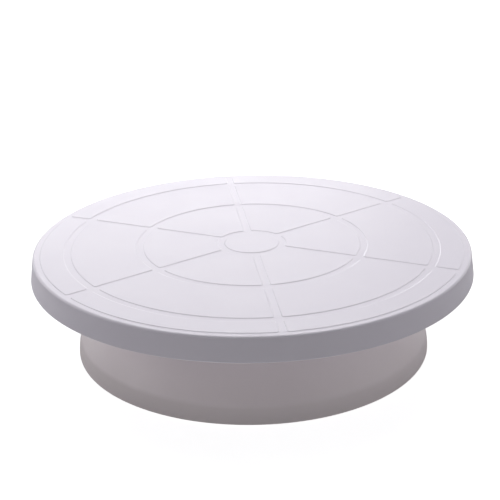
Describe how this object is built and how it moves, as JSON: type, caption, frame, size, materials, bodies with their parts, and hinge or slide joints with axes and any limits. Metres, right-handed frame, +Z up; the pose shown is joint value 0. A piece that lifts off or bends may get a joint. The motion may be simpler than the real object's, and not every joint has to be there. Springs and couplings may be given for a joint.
{
  "type": "cake turntable",
  "caption": "Round grooved cake plate that turns freely on a ball race over a tapered, hollow pedestal base with rubber feet.",
  "frame": {"origin": "on the floor, under the centre of the base, at the lowest face of the rubber feet", "axes": "+Z up along the plate's axis of turning, from the feet to the cake face; at rest one spoke groove points along -Y"},
  "size_m": [0.28, 0.28, 0.0694],
  "materials": {
    "plate_plastic": "satin moulded polypropylene, cool white",
    "base_plastic": "satin moulded polypropylene, cool white",
    "cage_nylon": "natural nylon",
    "bush_nylon": "natural acetal",
    "ball_steel": "polished, lightly greased",
    "zinc_steel": "bright zinc plate",
    "foot_rubber": "matte moulded rubber"
  },
  "bodies": {
    "base": {"base_shell": "base_plastic", "hub_bush": "bush_nylon", "foot_1": "foot_rubber", "foot_2": "foot_rubber", "foot_3": "foot_rubber", "foot_4": "foot_rubber", "foot_5": "foot_rubber", "foot_6": "foot_rubber"},
    "turntable": {"plate": "plate_plastic", "steel_washer": "zinc_steel", "retaining_screw": "zinc_steel"},
    "cage": {"ball_cage": "cage_nylon"},
    "ball_01": {"ball_01": "ball_steel"},
    "ball_02": {"ball_02": "ball_steel"},
    "ball_03": {"ball_03": "ball_steel"},
    "ball_04": {"ball_04": "ball_steel"},
    "ball_05": {"ball_05": "ball_steel"},
    "ball_06": {"ball_06": "ball_steel"},
    "ball_07": {"ball_07": "ball_steel"},
    "ball_08": {"ball_08": "ball_steel"},
    "ball_09": {"ball_09": "ball_steel"},
    "ball_10": {"ball_10": "ball_steel"},
    "ball_11": {"ball_11": "ball_steel"},
    "ball_12": {"ball_12": "ball_steel"},
    "ball_13": {"ball_13": "ball_steel"},
    "ball_14": {"ball_14": "ball_steel"},
    "ball_15": {"ball_15": "ball_steel"},
    "ball_16": {"ball_16": "ball_steel"}
  },
  "joints": [
    {"name": "plate_spin", "type": "hinge", "parent": "base", "child": "turntable", "pos_m": [0, 0, 0.0621], "axis": [0, 0, 1], "continuous": true},
    {"name": "cage_orbit", "type": "hinge", "parent": "base", "child": "cage", "pos_m": [0, 0, 0.0621], "axis": [0, 0, 1], "continuous": true},
    {"name": "ball_01_roll", "type": "hinge", "parent": "cage", "child": "ball_01", "pos_m": [0.055, 0, 0.0621], "axis": [1, 0, 0], "continuous": true},
    {"name": "ball_02_roll", "type": "hinge", "parent": "cage", "child": "ball_02", "pos_m": [0.05081, 0.02105, 0.0621], "axis": [0.9239, 0.3827, 0], "continuous": true},
    {"name": "ball_03_roll", "type": "hinge", "parent": "cage", "child": "ball_03", "pos_m": [0.03889, 0.03889, 0.0621], "axis": [0.7071, 0.7071, 0], "continuous": true},
    {"name": "ball_04_roll", "type": "hinge", "parent": "cage", "child": "ball_04", "pos_m": [0.02105, 0.05081, 0.0621], "axis": [0.3827, 0.9239, 0], "continuous": true},
    {"name": "ball_05_roll", "type": "hinge", "parent": "cage", "child": "ball_05", "pos_m": [0, 0.055, 0.0621], "axis": [0, 1, 0], "continuous": true},
    {"name": "ball_06_roll", "type": "hinge", "parent": "cage", "child": "ball_06", "pos_m": [-0.02105, 0.05081, 0.0621], "axis": [-0.3827, 0.9239, 0], "continuous": true},
    {"name": "ball_07_roll", "type": "hinge", "parent": "cage", "child": "ball_07", "pos_m": [-0.03889, 0.03889, 0.0621], "axis": [-0.7071, 0.7071, 0], "continuous": true},
    {"name": "ball_08_roll", "type": "hinge", "parent": "cage", "child": "ball_08", "pos_m": [-0.05081, 0.02105, 0.0621], "axis": [-0.9239, 0.3827, 0], "continuous": true},
    {"name": "ball_09_roll", "type": "hinge", "parent": "cage", "child": "ball_09", "pos_m": [-0.055, 0, 0.0621], "axis": [-1, 0, 0], "continuous": true},
    {"name": "ball_10_roll", "type": "hinge", "parent": "cage", "child": "ball_10", "pos_m": [-0.05081, -0.02105, 0.0621], "axis": [-0.9239, -0.3827, 0], "continuous": true},
    {"name": "ball_11_roll", "type": "hinge", "parent": "cage", "child": "ball_11", "pos_m": [-0.03889, -0.03889, 0.0621], "axis": [-0.7071, -0.7071, 0], "continuous": true},
    {"name": "ball_12_roll", "type": "hinge", "parent": "cage", "child": "ball_12", "pos_m": [-0.02105, -0.05081, 0.0621], "axis": [-0.3827, -0.9239, 0], "continuous": true},
    {"name": "ball_13_roll", "type": "hinge", "parent": "cage", "child": "ball_13", "pos_m": [0, -0.055, 0.0621], "axis": [0, -1, 0], "continuous": true},
    {"name": "ball_14_roll", "type": "hinge", "parent": "cage", "child": "ball_14", "pos_m": [0.02105, -0.05081, 0.0621], "axis": [0.3827, -0.9239, 0], "continuous": true},
    {"name": "ball_15_roll", "type": "hinge", "parent": "cage", "child": "ball_15", "pos_m": [0.03889, -0.03889, 0.0621], "axis": [0.7071, -0.7071, 0], "continuous": true},
    {"name": "ball_16_roll", "type": "hinge", "parent": "cage", "child": "ball_16", "pos_m": [0.05081, -0.02105, 0.0621], "axis": [0.9239, -0.3827, 0], "continuous": true}
  ],
  "couplings": [
    {"joint": "cage_orbit", "follows": "plate_spin", "ratio": 0.5},
    {"joint": "ball_01_roll", "follows": "plate_spin", "ratio": -8.6614},
    {"joint": "ball_02_roll", "follows": "plate_spin", "ratio": -8.6614},
    {"joint": "ball_03_roll", "follows": "plate_spin", "ratio": -8.6614},
    {"joint": "ball_04_roll", "follows": "plate_spin", "ratio": -8.6614},
    {"joint": "ball_05_roll", "follows": "plate_spin", "ratio": -8.6614},
    {"joint": "ball_06_roll", "follows": "plate_spin", "ratio": -8.6614},
    {"joint": "ball_07_roll", "follows": "plate_spin", "ratio": -8.6614},
    {"joint": "ball_08_roll", "follows": "plate_spin", "ratio": -8.6614},
    {"joint": "ball_09_roll", "follows": "plate_spin", "ratio": -8.6614},
    {"joint": "ball_10_roll", "follows": "plate_spin", "ratio": -8.6614},
    {"joint": "ball_11_roll", "follows": "plate_spin", "ratio": -8.6614},
    {"joint": "ball_12_roll", "follows": "plate_spin", "ratio": -8.6614},
    {"joint": "ball_13_roll", "follows": "plate_spin", "ratio": -8.6614},
    {"joint": "ball_14_roll", "follows": "plate_spin", "ratio": -8.6614},
    {"joint": "ball_15_roll", "follows": "plate_spin", "ratio": -8.6614},
    {"joint": "ball_16_roll", "follows": "plate_spin", "ratio": -8.6614}
  ]
}
